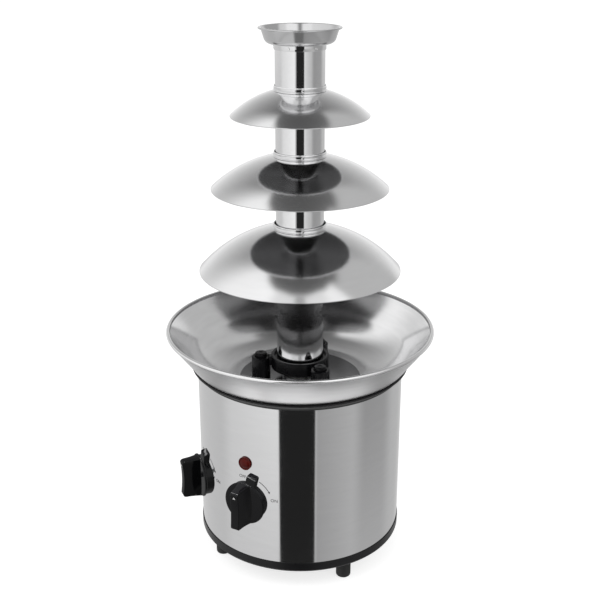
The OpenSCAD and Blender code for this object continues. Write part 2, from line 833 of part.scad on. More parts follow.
module block_screws() {
    color("#b8bbbe") around(block_turn, block_out) for (s = [-1, 1])
        translate([s * block_l / 4, 0, pan_z + block_h]) screw(3, block_h + pan_t, 5.6, 2);
}

module cord_bushing() {
    low = foot_h - bushing_flange_t;
    high = pan_z + bushing_tail;
    color("#19191b") around(180, bushing_out) difference() {
        rotate_extrude() polygon([[0, low], [bushing_r, low], [bushing_r, foot_h], [bushing_neck_r, foot_h],
            [bushing_neck_r, pan_z], [bushing_r, pan_z], [bushing_r, pan_z + bushing_flange_t],
            [bushing_neck_r, high], [0, high]]);
        translate([0, 0, low - 1]) cylinder(d = cord_d, h = high - low + 2);
    }
}

module motor_shaft() {
    color("#c0c2c4") translate([0, 0, gear_z + 7]) cylinder(d = motor_shaft_d, h = coupling_mid - gear_z - 7);
}

module shaft_coupling() {
    color("#9a9da0") difference() {
        translate([0, 0, coupling_z]) cylinder(d = coupling_d, h = coupling_l);
        translate([0, 0, coupling_z - 1]) cylinder(d = motor_shaft_d + 2 * thread_gap, h = coupling_l);
        translate([0, 0, coupling_mid]) cylinder(d = shaft_d + 2 * thread_gap, h = coupling_l);
    }
}

module drive_shaft() {
    tip = 1;
    top = floor_z + shaft_rise;
    color("#c6c9cb") difference() {
        rotate_extrude() polygon([[0, coupling_mid + thread_gap], [shaft_d / 2, coupling_mid + thread_gap],
            [shaft_d / 2, top - tip], [shaft_d / 2 - tip, top], [0, top]]);
        translate([0, 0, floor_z + pin_rise]) rotate([0, 90, 0])
            cylinder(d = pin_d + 2 * thread_gap, h = 2 * shaft_d, center = true);
    }
}

module drive_pin() {
    color("#c0c2c4") translate([0, 0, floor_z + pin_rise]) rotate([0, 90, 0])
        cylinder(d = pin_d, h = pin_l, center = true);
}

module auger_core() {
    hub_top = core_z + hub_h;
    tip = core_d / 4;
    slot = pin_d + 0.6;
    color("#e9e7e1") difference() {
        rotate_extrude() polygon([[0, core_z], [hub_d / 2, core_z], [hub_d / 2, hub_top - 4],
            [core_d / 2, hub_top], [core_d / 2, core_top - tip], [core_d / 2 - tip, core_top], [0, core_top]]);
        translate([0, 0, core_z - 1])
            cylinder(d = shaft_d + 2 * lift_fit, h = floor_z + shaft_rise - core_z + 2);
        translate([-hub_d, -slot / 2, core_z - 1])
            cube([2 * hub_d, slot, floor_z + pin_rise + slot / 2 - core_z + 1]);
    }
}

// Helical blade wound round the core, swept by a formula
module auger_flight() {
    steps_per_turn = 20;
    rise = flight_end - flight_z - flight_t;
    steps = ceil(rise / flight_pitch * steps_per_turn);
    hub_top = core_z + hub_h;
    tip_t = flight_t * 0.7;
    polygon_gain = 1 / cos(180 / steps_per_turn);
    function inner(z) = (z < hub_top ? hub_d / 2 : core_d / 2) * polygon_gain + 0.02;
    function ring(i) = let (a = i * 360 / steps_per_turn, z = flight_z + rise * i / steps, r = inner(z),
            u = [cos(a), sin(a)])
        [[r * u[0], r * u[1], z], [flight_d / 2 * u[0], flight_d / 2 * u[1], z + (flight_t - tip_t) / 2],
            [flight_d / 2 * u[0], flight_d / 2 * u[1], z + (flight_t + tip_t) / 2],
            [r * u[0], r * u[1], z + flight_t]];
    points = [for (i = [0 : steps]) each ring(i)];
    sides = [for (i = [0 : steps - 1], k = [0 : 3]) let (a = 4 * i + k, b = 4 * i + (k + 1) % 4)
        each [[a, b, b + 4], [a, b + 4, a + 4]]];
    last = 4 * steps;
    ends = [[0, 3, 2], [0, 2, 1], [last, last + 1, last + 2], [last, last + 2, last + 3]];
    color("#e9e7e1") polyhedron(points = points, faces = concat(sides, ends));
}

module tower_seat() {
    arm_z = seat_z + 2;
    color("#151517") difference() {
        union() {
            translate([0, 0, seat_z]) cylinder(r = seat_r, h = seat_h);
            circle_of(3, post_turn, post_circle) translate([0, 0, floor_z + lift_fit])
                cylinder(d = sleeve_d, h = sleeve_top - floor_z - lift_fit);
            circle_of(3, post_turn, 0) translate([-seat_arm_w / 2, -post_circle, arm_z])
                cube([seat_arm_w, post_circle - tube_r - 1, sleeve_top - arm_z]);
        }
        translate([0, 0, seat_z - 1]) cylinder(r = tube_in_r, h = seat_h + 2);
        translate([0, 0, tube_z]) cylinder(r = tube_r + thread_gap, h = seat_h);
        circle_of(3, post_turn, post_circle) translate([0, 0, floor_z])
            cylinder(d = post_d + 2 * lift_fit, h = seat_gap + seat_h + 2);
    }
}

// Three pressed pips that carry the collar of a dome
module seat_pips(top, collar_r) {
    reach = collar_r + pip_catch;
    circle_of(3, 0, 0) translate([0, 0, top - collar_tail - lift_fit - pip_d / 2]) rotate([90, 0, 0])
        translate([0, 0, tube_r - tube_t / 2]) cylinder(d = pip_d, h = reach - tube_r + tube_t / 2, $fn = 32);
}

module tower_tube() {
    color("#d6d8da") {
        translate([0, 0, tube_z]) pipe(tube_r, tube_in_r, tube_end - tube_z);
        seat_pips(floor_z + lower_top, lower_collar_r);
        seat_pips(floor_z + middle_top, middle_collar_r);
        seat_pips(floor_z + upper_top, upper_collar_r);
    }
}

// Spherical sheet dome with a rolled edge and a hole for its collar
module dome(d, h, top, collar_r) {
    hole_r = collar_r + collar_t + thread_gap;
    rim_r = d / 2;
    rim_z = top - h;
    edge = [rim_r - 0.2, rim_z + hem_r];
    zc = cap_centre(hole_r, top, edge[0], edge[1]);
    cap_r = norm([hole_r, top - zc]);
    rotate_extrude($fn = 192) {
        intersection() {
            translate([0, zc]) difference() {
                circle(r = cap_r, $fn = 240);
                circle(r = cap_r - dome_t, $fn = 240);
            }
            translate([hole_r, edge[1]]) square([rim_r, h]);
        }
        translate([rim_r - hem_r, rim_z + hem_r]) circle(r = hem_r, $fn = 32);
    }
}

// Collar that slides over the tube, with a turned-out foot on its dome
module collar(top, collar_r, h) {
    foot_t = 0.5;
    translate([0, 0, top - collar_tail]) pipe(collar_r + collar_t, collar_r, collar_tail + h);
    translate([0, 0, top + fix_fit]) pipe(collar_r + collar_t + foot_t, collar_r + collar_t / 2, foot_t);
}

module lower_dome() {
    color("#dcdee0") dome(lower_d, lower_h, floor_z + lower_top, lower_collar_r);
}

module lower_collar() {
    color("#cfd2d4") collar(floor_z + lower_top, lower_collar_r, collar_h);
}

module middle_dome() {
    color("#dcdee0") dome(middle_d, middle_h, floor_z + middle_top, middle_collar_r);
}

module middle_collar() {
    color("#cfd2d4") collar(floor_z + middle_top, middle_collar_r, collar_h);
}

module upper_dome() {
    color("#dcdee0") dome(upper_d, upper_h, floor_z + upper_top, upper_collar_r);
}

module upper_collar() {
    color("#cfd2d4") collar(floor_z + upper_top, upper_collar_r, collar_h);
}

module cup() {
    wall_a = 68;
    foot_c = [cup_floor_d / 2, cup_z + dome_t + cup_foot_r];
    bend = foot_c + cup_foot_r * down(wall_a);
    bend_out = foot_c + (cup_foot_r + dome_t) * down(wall_a);
    lip = [cup_d / 2 - cup_lip, cup_z + cup_h - dome_t];
    edge_r = 0.9;
    color("#d8dadc") rotate_extrude($fn = 192) {
        translate([tube_in_r, cup_z]) square([foot_c[0] - tube_in_r, dome_t]);
        arc_band(foot_c, cup_foot_r, dome_t, 0, wall_a);
        polygon([bend, bend_out, lip + [dome_t, 0], lip]);
        translate(lip - [0.2, 0]) square([cup_lip + 0.2 - edge_r, dome_t]);
        translate([cup_d / 2 - edge_r, cup_z + cup_h - edge_r]) circle(r = edge_r, $fn = 32);
    }
}

module cup_collar() {
    color("#cfd2d4") translate([0, 0, cup_z - cup_collar_h])
        pipe(upper_collar_r + collar_t, upper_collar_r, cup_collar_h - fix_fit);
}

base_pan();
feet();
foot_screws();
body_wrap();
top_ring();
bowl();
tower_posts();
post_nuts();
shaft_bush();
shaft_seal();
bush_nut();
heater_plate();
heater_element();
thermostat();
thermal_fuse();
motor_bracket();
gear_case();
motor_can();
gear_screws();
tie_rods();
rod_nuts();
motor_switch();
heat_switch();
switch_screws();
motor_bezel();
heat_bezel();
lamp_lens();
lamp_barrel();
lamp_clip();
terminal_block();
block_screws();
cord_bushing();
motor_shaft();
shaft_coupling();
drive_shaft();
drive_pin();
auger_core();
auger_flight();
tower_seat();
tower_tube();
lower_dome();
lower_collar();
middle_dome();
middle_collar();
upper_dome();
upper_collar();
cup();
cup_collar();
motor_knob();
motor_spindle();
heat_knob();
heat_spindle();
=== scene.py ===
import json
import math

import bpy
from mathutils import Matrix


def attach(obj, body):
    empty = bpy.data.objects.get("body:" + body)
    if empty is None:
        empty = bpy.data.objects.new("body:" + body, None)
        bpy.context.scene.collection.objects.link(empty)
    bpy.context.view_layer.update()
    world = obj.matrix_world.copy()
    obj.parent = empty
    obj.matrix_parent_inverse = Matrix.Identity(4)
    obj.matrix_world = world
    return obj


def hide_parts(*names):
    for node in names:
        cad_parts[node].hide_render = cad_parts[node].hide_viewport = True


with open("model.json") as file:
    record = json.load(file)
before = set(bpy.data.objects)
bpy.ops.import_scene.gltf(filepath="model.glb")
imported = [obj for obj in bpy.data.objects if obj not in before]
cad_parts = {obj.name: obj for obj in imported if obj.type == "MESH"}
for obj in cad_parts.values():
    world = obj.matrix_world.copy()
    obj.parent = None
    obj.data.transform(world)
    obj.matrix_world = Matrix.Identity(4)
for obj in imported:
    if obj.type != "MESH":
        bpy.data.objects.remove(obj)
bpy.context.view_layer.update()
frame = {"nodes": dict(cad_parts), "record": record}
nodes = frame["nodes"]
MM = 0.001

# Sizes in millimetres and degrees, as the solids have them; turns count from the front to the right
DRUM_R, DRUM_WALL = 104.5, 0.8
PAN_TOP, RING_Z, RING_TOP = 32.0, 201.0, 208.0
BOWL_FLOOR, DISH_R, FLOOR_R, BOWL_WALL = 189.0, 62.0, 62.0, 1.0
DISH_CENTRE = (FLOOR_R, BOWL_FLOOR + DISH_R)
TUBE_R, TUBE_WALL, TUBE_LOW, TUBE_TOP = 23.5, 0.8, 202.0, 523.2
TUBE_INNER = TUBE_R - TUBE_WALL
POST_OUT, POST_TURN = 40.0, 78.0
POST_TURNS = (POST_TURN, POST_TURN - 120, POST_TURN + 120)
FOOT_X, FOOT_Y, FOOT_TURN = 66.0, 59.5, 30.0
CUP_LOW, CUP_TOP = 523.5, 538.5
KNOB_TURN, KNOB_Z, LAMP_TURN, LAMP_Z = 19.0, 97.0, 17.5, 137.0
BEZEL_R, BEZEL_T = 20.5, 5.5
TAB_W, TAB_OUT, TAB_TURN, TAB_SLOPE = 10.5, 10.5, 14.0, 29.0
KNOB_R, SKIRT_Z, SKIRT_T = 22.0, 6.1, 2.0
GRIP_OUT, GRIP_END, GRIP_WAIST = 27.0, 21.2, 2.0

# Each tier: width, height and top of its dome, and the inner radius of its sleeve
TIERS = {"lower": (199.0, 43.0, 348.0, 25.0),
         "middle": (172.0, 32.0, 419.0, 24.4),
         "upper": (132.6, 24.2, 481.0, 23.8)}
SLEEVE_WALL, DOME_FIT, PIP_CATCH = 0.6, 0.05, 0.4

# The camera stands at this turn from the front
VIEW_ANGLE = 48.0


# Modelling steps

def clear_selection():
    if bpy.context.object and bpy.context.object.mode != "OBJECT":
        bpy.ops.object.mode_set(mode="OBJECT")
    bpy.ops.object.select_all(action="DESELECT")


def pick(*pieces):
    clear_selection()
    for piece in pieces:
        piece.select_set(True)
    bpy.context.view_layer.objects.active = pieces[0]


def named(piece, name):
    piece.name = name
    piece.data.name = name
    return piece


def smooth(piece, angle=35):
    pick(piece)
    bpy.ops.object.shade_smooth_by_angle(angle=math.radians(angle))
    return piece


def arc(cx, cz, r, start, end, count):
    """Points of a profile along an arc, angles from the outward direction."""
    angles = [math.radians(start + (end - start) * i / count) for i in range(count + 1)]
    return [(cx + r * math.cos(a), cz + r * math.sin(a)) for a in angles]


def begin_point(name, r, z):
    clear_selection()
    bpy.ops.mesh.primitive_plane_add(size=MM)
    piece = named(bpy.context.object, name)
    bpy.ops.object.mode_set(mode="EDIT")
    bpy.ops.mesh.merge(type="CENTER")
    bpy.ops.transform.translate(value=(r * MM, 0, z * MM))
    return piece


def extrude(x, y, z):
    bpy.ops.mesh.extrude_region_move(TRANSFORM_OT_translate={"value": (x * MM, y * MM, z * MM)})


def merge_doubles():
    bpy.ops.mesh.select_all(action="SELECT")
    bpy.ops.mesh.remove_doubles(threshold=MM * 0.002)


def turned(name, profile, steps=160):
    """A profile of radius and height, drawn by extruding one point and spun round the axis."""
    piece = begin_point(name, *profile[0])
    for (r0, z0), (r1, z1) in zip(profile, profile[1:]):
        extrude(r1 - r0, 0, z1 - z0)
    bpy.ops.mesh.select_all(action="SELECT")
    bpy.ops.mesh.spin(steps=steps, angle=math.tau, center=(0, 0, 0), axis=(0, 0, 1))
    merge_doubles()
    bpy.ops.mesh.normals_make_consistent(inside=False)
    bpy.ops.object.mode_set(mode="OBJECT")
    return smooth(piece)


def block(name, size, at):
    clear_selection()
    bpy.ops.mesh.primitive_cube_add(size=1)
    piece = named(bpy.context.object, name)
    piece.scale = [s * MM for s in size]
    piece.location = [p * MM for p in at]
    bpy.ops.object.transform_apply(location=True, rotation=True, scale=True)
    return piece


def rod(name, r, depth, at, turn=(0, 0, 0), sides=96):
    clear_selection()
    bpy.ops.mesh.primitive_cylinder_add(
        vertices=sides, radius=r * MM, depth=depth * MM, location=[p * MM for p in at],
        rotation=[math.radians(t) for t in turn])
    piece = named(bpy.context.object, name)
    bpy.ops.object.transform_apply(location=True, rotation=True, scale=True)
    return piece


def plate(name, outline, low, high):
    """A flat plate: an outline drawn by extruding one point, filled and raised from low to high."""
    piece = begin_point(name, outline[0][0], low)
    bpy.ops.transform.translate(value=(0, outline[0][1] * MM, 0))
    for (x0, y0), (x1, y1) in zip(outline, outline[1:]):
        extrude(x1 - x0, y1 - y0, 0)
    merge_doubles()
    bpy.ops.mesh.select_all(action="SELECT")
    bpy.ops.mesh.edge_face_add()
    extrude(0, 0, high - low)
    bpy.ops.mesh.select_all(action="SELECT")
    bpy.ops.mesh.normals_make_consistent(inside=False)
    bpy.ops.object.mode_set(mode="OBJECT")
    return piece


def sliced(piece, at, facing, trim=False):
    """Cuts a piece along a plane, and takes off what lies beyond it if asked."""
    pick(piece)
    bpy.ops.object.mode_set(mode="EDIT")
    bpy.ops.mesh.select_all(action="SELECT")
    bpy.ops.mesh.bisect(plane_co=[p * MM for p in at], plane_no=facing, use_fill=trim,
                        clear_outer=trim)
    bpy.ops.object.mode_set(mode="OBJECT")
    return piece


def cut(piece, tool):
    pick(piece)
    step = piece.modifiers.new("cut", "BOOLEAN")
    step.object = tool
    step.operation = "DIFFERENCE"
    step.solver = "EXACT"
    bpy.ops.object.modifier_apply(modifier=step.name)
    bpy.data.objects.remove(tool)
    return piece


def rounded(piece, width, segments=3, angle=35, smooth_angle=40):
    pick(piece)
    step = piece.modifiers.new("edges", "BEVEL")
    step.width = width * MM
    step.segments = segments
    step.limit_method = "ANGLE"
    step.angle_limit = math.radians(angle)
    step.use_clamp_overlap = True
    bpy.ops.object.modifier_apply(modifier=step.name)
    return smooth(piece, smooth_angle)


def joined(name, *pieces):
    pick(*pieces)
    bpy.ops.object.join()
    return named(bpy.context.object, name)


def placed(piece, matrix):
    piece.data.transform(matrix)
    piece.data.update()
    return piece


def repeated(piece, places):
    """A copy of a piece at each place, instead of the piece itself."""
    copies = []
    for place in places:
        twin = piece.copy()
        twin.data = piece.data.copy()
        bpy.context.scene.collection.objects.link(twin)
        copies.append(placed(twin, place))
    bpy.data.objects.remove(piece)
    return copies


def turn_about(axis, angle):
    return Matrix.Rotation(math.radians(angle), 4, axis)


def round_axis(turn, out, z=0.0):
    """Place at an angle from the front and a distance from the axis."""
    return turn_about("Z", turn) @ Matrix.Translation((0, -out * MM, z * MM))


def on_drum(turn, z):
    """Place on the drum: x to the right, y up, z outwards."""
    return round_axis(turn, DRUM_R, z) @ turn_about("X", 90)


def wrapped_on_drum(piece, turn, z):
    """Lays a flat mark, drawn with x right and y up, on the drum's curve."""
    lift = 0.05
    for v in piece.data.vertices:
        a = math.radians(turn) + v.co.x / (DRUM_R * MM)
        r = (DRUM_R + lift) * MM + v.co.z
        v.co = (r * math.sin(a), -r * math.cos(a), z * MM + v.co.y)
    piece.data.update()
    return piece


# Shader groups and finishes

def new_group(name, inputs, outputs):
    tree = bpy.data.node_groups.new(name, "ShaderNodeTree")
    kind = "NodeSocketFloat"
    for label, value in inputs:
        socket = tree.interface.new_socket(name=label, in_out="INPUT", socket_type=kind)
        socket.default_value = value
    for label in outputs:
        tree.interface.new_socket(name=label, in_out="OUTPUT", socket_type=kind)
    return tree, tree.nodes.new("NodeGroupInput"), tree.nodes.new("NodeGroupOutput")


def node(tree, kind, **values):
    made = tree.nodes.new(kind)
    for key, value in values.items():
        setattr(made, key, value)
    return made


def plug(tree, socket, value):
    """Sets a socket to a plain value, or links another socket to it."""
    if isinstance(value, (int, float, tuple)):
        socket.default_value = value
    else:
        tree.links.new(value, socket)


def maths(tree, operation, *values):
    step = node(tree, "ShaderNodeMath", operation=operation)
    for socket, value in zip(step.inputs, values):
        plug(tree, socket, value)
    return step.outputs[0]


def vectors(tree, operation, *values, scale=None):
    step = node(tree, "ShaderNodeVectorMath", operation=operation)
    for socket, value in zip(step.inputs, values):
        plug(tree, socket, value)
    if scale is not None:
        plug(tree, step.inputs["Scale"], scale)
    return step.outputs["Value" if operation in ("LENGTH", "DOT_PRODUCT") else "Vector"]


def split(tree, vector):
    step = node(tree, "ShaderNodeSeparateXYZ")
    plug(tree, step.inputs[0], vector)
    return step.outputs


def combined(tree, *values):
    step = node(tree, "ShaderNodeCombineXYZ")
    for socket, value in zip(step.inputs, values):
        plug(tree, socket, value)
    return step.outputs[0]


def span(tree, value, low, high, to_low=0.0, to_high=1.0, soft=True):
    step = node(tree, "ShaderNodeMapRange", interpolation_type="SMOOTHSTEP" if soft else "LINEAR")
    labels = ("Value", "From Min", "From Max", "To Min", "To Max")
    for label, number in zip(labels, (value, low, high, to_low, to_high)):
        plug(tree, step.inputs[label], number)
    return step.outputs["Result"]


def noise(tree, vector, scale, detail=2.0, roughness=0.5):
    step = node(tree, "ShaderNodeTexNoise")
    plug(tree, step.inputs["Vector"], vector)
    plug(tree, step.inputs["Scale"], scale)
    step.inputs["Detail"].default_value = detail
    step.inputs["Roughness"].default_value = roughness
    return step.outputs["Fac"]


def object_place(tree):
    return node(tree, "ShaderNodeTexCoord").outputs["Object"]


def make_spun_lines():
    """Fine strokes that run round the upright axis, and broader bands among them."""
    inputs = [("Rows", 4000.0), ("Sweep", 6.0), ("Radial", 0.0), ("Upright", 1.0)]
    tree, given, out = new_group("spun_lines", inputs, ["Strokes", "Bands"])
    x, y, z = split(tree, object_place(tree))
    flat = combined(tree, x, y)
    radius = vectors(tree, "LENGTH", flat)
    facing = vectors(tree, "NORMALIZE", flat)
    way = split(tree, vectors(tree, "SCALE", facing, scale=given.outputs["Sweep"]))
    row = maths(tree, "ADD", maths(tree, "MULTIPLY", radius, given.outputs["Radial"]),
                maths(tree, "MULTIPLY", z, given.outputs["Upright"]))
    for label, share, detail in (("Strokes", 1.0, 3.0), ("Bands", 0.06, 2.0)):
        rows = maths(tree, "MULTIPLY", given.outputs["Rows"], share)
        spot = combined(tree, way[0], way[1], maths(tree, "MULTIPLY", row, rows))
        plug(tree, out.inputs[label], noise(tree, spot, 1.0, detail, 0.6))
    return tree


def make_moulded_grain():
    """The fine pebble of a moulded surface, and the slow change of its gloss."""
    inputs = [("Pebble", 2500.0), ("Patch", 40.0)]
    tree, given, out = new_group("moulded_grain", inputs, ["Grain", "Gloss"])
    place = object_place(tree)
    plug(tree, out.inputs["Grain"], noise(tree, place, given.outputs["Pebble"], 2.0, 0.55))
    plug(tree, out.inputs["Gloss"], noise(tree, place, given.outputs["Patch"], 3.0, 0.6))
    return tree


def make_handling():
    """Faint smudges and dust left by wiping and handling."""
    tree, given, out = new_group("handling", [("Size", 18.0), ("Amount", 0.5)], ["Smudge"])
    cloud = noise(tree, object_place(tree), given.outputs["Size"], 4.0, 0.62)
    smudge = maths(tree, "MULTIPLY", span(tree, cloud, 0.48, 0.72), given.outputs["Amount"])
    plug(tree, out.inputs["Smudge"], smudge)
    return tree


spun_lines = make_spun_lines()
moulded_grain = make_moulded_grain()
handling = make_handling()


def begin_material(name):
    material = bpy.data.materials.new(name)
    material.use_nodes = True
    tree = material.node_tree
    shader = next(n for n in tree.nodes if n.type == "BSDF_PRINCIPLED")
    return material, tree, shader


def use_group(tree, group, **values):
    made = node(tree, "ShaderNodeGroup", node_tree=group)
    for label, value in values.items():
        made.inputs[label].default_value = value
    return made


def tone(tree, factor, dark, light):
    mix = node(tree, "ShaderNodeMix", data_type="RGBA")
    plug(tree, mix.inputs["Factor"], factor)
    mix.inputs["A"].default_value = (*dark, 1)
    mix.inputs["B"].default_value = (*light, 1)
    return mix.outputs["Result"]


def bump(tree, shader, height, strength, distance):
    step = node(tree, "ShaderNodeBump")
    step.inputs["Strength"].default_value = strength
    step.inputs["Distance"].default_value = distance
    plug(tree, step.inputs["Height"], height)
    plug(tree, shader.inputs["Normal"], step.outputs["Normal"])


def spun_metal(name, colour, rough, spread, rows, sweep, run, depth, contrast=0.06, smudge=0.4):
    """Turned or rolled sheet; run says how its rows of strokes follow each other, out and up."""
    material, tree, shader = begin_material(name)
    lines = use_group(tree, spun_lines, Rows=rows, Sweep=sweep, Radial=run[0], Upright=run[1])
    wipe = use_group(tree, handling, Size=16.0, Amount=smudge)
    strokes, bands = lines.outputs["Strokes"], lines.outputs["Bands"]
    shader.inputs["Metallic"].default_value = 1.0
    shade = maths(tree, "ADD", maths(tree, "MULTIPLY", bands, 0.6),
                  maths(tree, "MULTIPLY", strokes, 0.4))
    dark = [c * (1 - contrast) for c in colour]
    light = [min(1.0, c * (1 + contrast)) for c in colour]
    plug(tree, shader.inputs["Base Color"],
         tone(tree, span(tree, shade, 0.3, 0.7, soft=False), dark, light))
    gloss = span(tree, strokes, 0.25, 0.75, rough - spread, rough + spread, soft=False)
    smear = maths(tree, "MULTIPLY", wipe.outputs["Smudge"], 0.06)
    plug(tree, shader.inputs["Roughness"], maths(tree, "ADD", gloss, smear))
    bump(tree, shader, strokes, depth, 0.00005)
    return material


def moulded(name, colour, rough, depth=0.15, specular=0.5, coat=0.0):
    spread = 0.06
    material, tree, shader = begin_material(name)
    grain = use_group(tree, moulded_grain, Pebble=2500.0, Patch=35.0)
    dust = use_group(tree, handling, Size=30.0, Amount=0.5).outputs["Smudge"]
    patch = grain.outputs["Gloss"]
    shader.inputs["Specular IOR Level"].default_value = specular
    shader.inputs["Coat Weight"].default_value = coat
    shader.inputs["Coat Roughness"].default_value = 0.12
    shade = maths(tree, "MULTIPLY_ADD", dust, 0.5, maths(tree, "MULTIPLY", patch, 0.5))
    dark = [c * 0.85 for c in colour]
    light = [c * 1.2 + 0.001 for c in colour]
    plug(tree, shader.inputs["Base Color"], tone(tree, shade, dark, light))
    gloss = span(tree, patch, 0.3, 0.7, rough - spread, rough + spread, soft=False)
    plug(tree, shader.inputs["Roughness"], maths(tree, "MULTIPLY_ADD", dust, 0.08, gloss))
    bump(tree, shader, grain.outputs["Grain"], depth, 0.00005)
    return material


def cast_metal(name, colour, rough):
    spread = 0.07
    material, tree, shader = begin_material(name)
    grain = use_group(tree, moulded_grain, Pebble=900.0, Patch=60.0)
    patch = grain.outputs["Gloss"]
    shader.inputs["Metallic"].default_value = 1.0
    plug(tree, shader.inputs["Base Color"], tone(tree, patch, [c * 0.88 for c in colour], colour))
    gloss = span(tree, patch, 0.3, 0.7, rough - spread, rough + spread)
    plug(tree, shader.inputs["Roughness"], gloss)
    bump(tree, shader, grain.outputs["Grain"], 0.25, 0.0001)
    return material


def red_lens():
    material, tree, shader = begin_material("lens_red")
    ripple = noise(tree, object_place(tree), 260.0, 2.0, 0.5)
    plug(tree, shader.inputs["Base Color"],
         tone(tree, ripple, (0.05, 0.004, 0.003), (0.13, 0.010, 0.006)))
    plug(tree, shader.inputs["Roughness"], span(tree, ripple, 0.3, 0.7, 0.14, 0.24))
    shader.inputs["Specular IOR Level"].default_value = 0.12
    return material


# How rows of strokes follow each other, out and up: on a wall, a dome, a dish, a beaded sleeve and
# small plain parts
WALL, DOME, DISH, SLEEVE, PLAIN = (0.0, 1.0), (1.0, -0.5), (1.0, 0.5), (0.4, 1.0), (0.3, 1.0)
PALE = (0.84, 0.84, 0.845)

steel_wrap = spun_metal("wrap_steel", (0.72, 0.72, 0.725), 0.07, 0.02, 3500.0, 3.0, WALL, 0.015,
                        contrast=0.02, smudge=0.3)
steel_dome = spun_metal("dome_steel", PALE, 0.135, 0.02, 2600.0, 3.0, DOME, 0.02,
                        contrast=0.02, smudge=0.3)
# Painted shade: dark steel colours for the undersides of the domes, darkest under the middle and
# upper tiers and less dark under the lower one
steel_painted_shade_under = spun_metal("painted_shade_under_steel", (0.11, 0.11, 0.112), 0.14, 0.03, 2200.0, 3.0, DOME, 0.05)
steel_painted_shade_inside = spun_metal("painted_shade_inside_steel", (0.30, 0.30, 0.303), 0.18, 0.03, 2200.0, 3.0, DOME, 0.04)
steel_cup = spun_metal("cup_steel", (0.60, 0.60, 0.605), 0.10, 0.02, 2600.0, 3.0, DISH, 0.015,
                       contrast=0.02, smudge=0.3)
# Painted shade: a dark steel colour for the bowl floor under the tiers and for the crease and
# underside of the rim bead
steel_painted_shade = spun_metal("painted_shade_floor_steel", (0.24, 0.24, 0.245), 0.22, 0.05, 2600.0, 3.0, DISH, 0.05)
steel_tube = spun_metal("tube_steel", (0.82, 0.82, 0.825), 0.07, 0.02, 3000.0, 4.0, WALL, 0.02,
                        contrast=0.03, smudge=0.3)
steel_collar = spun_metal("collar_steel", (0.80, 0.80, 0.805), 0.06, 0.02, 3000.0, 5.0, SLEEVE,
                          0.02, contrast=0.03, smudge=0.2)
steel_bowl = spun_metal("bowl_steel", PALE, 0.14, 0.03, 2600.0, 3.0, DISH, 0.03, contrast=0.05)
steel_satin = spun_metal("satin_steel", PALE, 0.36, 0.04, 2600.0, 3.0, DISH, 0.05, contrast=0.04)
steel_plain = spun_metal("plain_steel", (0.62, 0.63, 0.64), 0.28, 0.06, 1800.0, 8.0, PLAIN, 0.08)
steel_element = cast_metal("element_steel", (0.34, 0.31, 0.29), 0.5)
cast_alloy = cast_metal("aluminium", (0.66, 0.67, 0.68), 0.45)
black_pan = moulded("black_pan", (0.008, 0.008, 0.009), 0.30, specular=0.25)
black_seat = moulded("black_seat", (0.006, 0.006, 0.007), 0.26, specular=0.2)
black_knob = moulded("knob_black", (0.002, 0.002, 0.0025), 0.15, 0.03, specular=0.0, coat=0.35)
black_rubber = moulded("foot_rubber", (0.012, 0.012, 0.012), 0.6, 0.3)
bushing_rubber = moulded("bushing_rubber", (0.014, 0.014, 0.014), 0.55, 0.3)
white_moulded = moulded("white_plastic", (0.74, 0.73, 0.69), 0.42)
screw_plastic = moulded("auger_plastic", (0.78, 0.77, 0.74), 0.38)
pointer_white = moulded("pointer_white", (0.80, 0.80, 0.79), 0.45)
print_black = moulded("print_black", (0.03, 0.03, 0.032), 0.5)
lens_red = red_lens()

FINISH = {"wrap_steel": steel_wrap, "bowl_steel": steel_bowl, "dome_steel": steel_dome,
          "tube_steel": steel_tube, "collar_steel": steel_collar, "plain_steel": steel_plain,
          "element_steel": steel_element, "aluminium": cast_alloy, "black_pan": black_pan,
          "black_seat": black_seat, "knob_black": black_knob, "foot_rubber": black_rubber,
          "bushing_rubber": bushing_rubber, "white_plastic": white_moulded,
          "auger_plastic": screw_plastic, "lens_red": lens_red}
for part in frame["record"]["subparts"]:
    mesh = nodes[part["node"]].data
    mesh.materials.clear()
    mesh.materials.append(FINISH[part["material_slot"]])


def finished(piece, material, body, slot, *replaced):
    piece.data.materials.clear()
    piece.data.materials.append(material)
    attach(piece, body)
    if replaced:
        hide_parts(*replaced)
    return piece


# Drum, rings and bowl

def make_drum():
    edge = 0.25
    inner = DRUM_R - DRUM_WALL
    wrap = turned("drum_wrap",
                  [(inner, PAN_TOP), (DRUM_R - edge, PAN_TOP), (DRUM_R, PAN_TOP + edge),
                   (DRUM_R, RING_Z - edge), (DRUM_R - edge, RING_Z), (inner, RING_Z),
                   (inner, PAN_TOP)], steps=256)
    finished(wrap, steel_wrap, "base", "wrap_steel", "body_wrap")


def make_top_ring():
    edge, proud, bowl_gap = 0.8, 0.7, 0.1
    foot = DRUM_R + proud
    lip_out, lip_low = 103.6, 195.0
    lip_in = lip_out - 2.2
    lip = [(lip_in, lip_low), (lip_out, lip_low), (lip_out, RING_Z)]
    flare = (arc(foot - edge, RING_Z + edge, edge, -90, 0, 4)
             + [(foot + 1.2, RING_Z + 2.6), (foot + 3.6, RING_Z + 5.2)])
    brim = arc(foot + 4.4, RING_TOP - edge, edge, -20, 90, 4) + [(108.0, RING_TOP - 0.2)]
    seat = arc(*DISH_CENTRE, DISH_R + BOWL_WALL + bowl_gap, -45.2, -48.0, 3)
    ring = turned("flared_ring", lip + flare + brim + seat + [(lip_in, 201.4), lip[0]], steps=192)
    finished(ring, black_pan, "base", "black_pan", "top_ring")


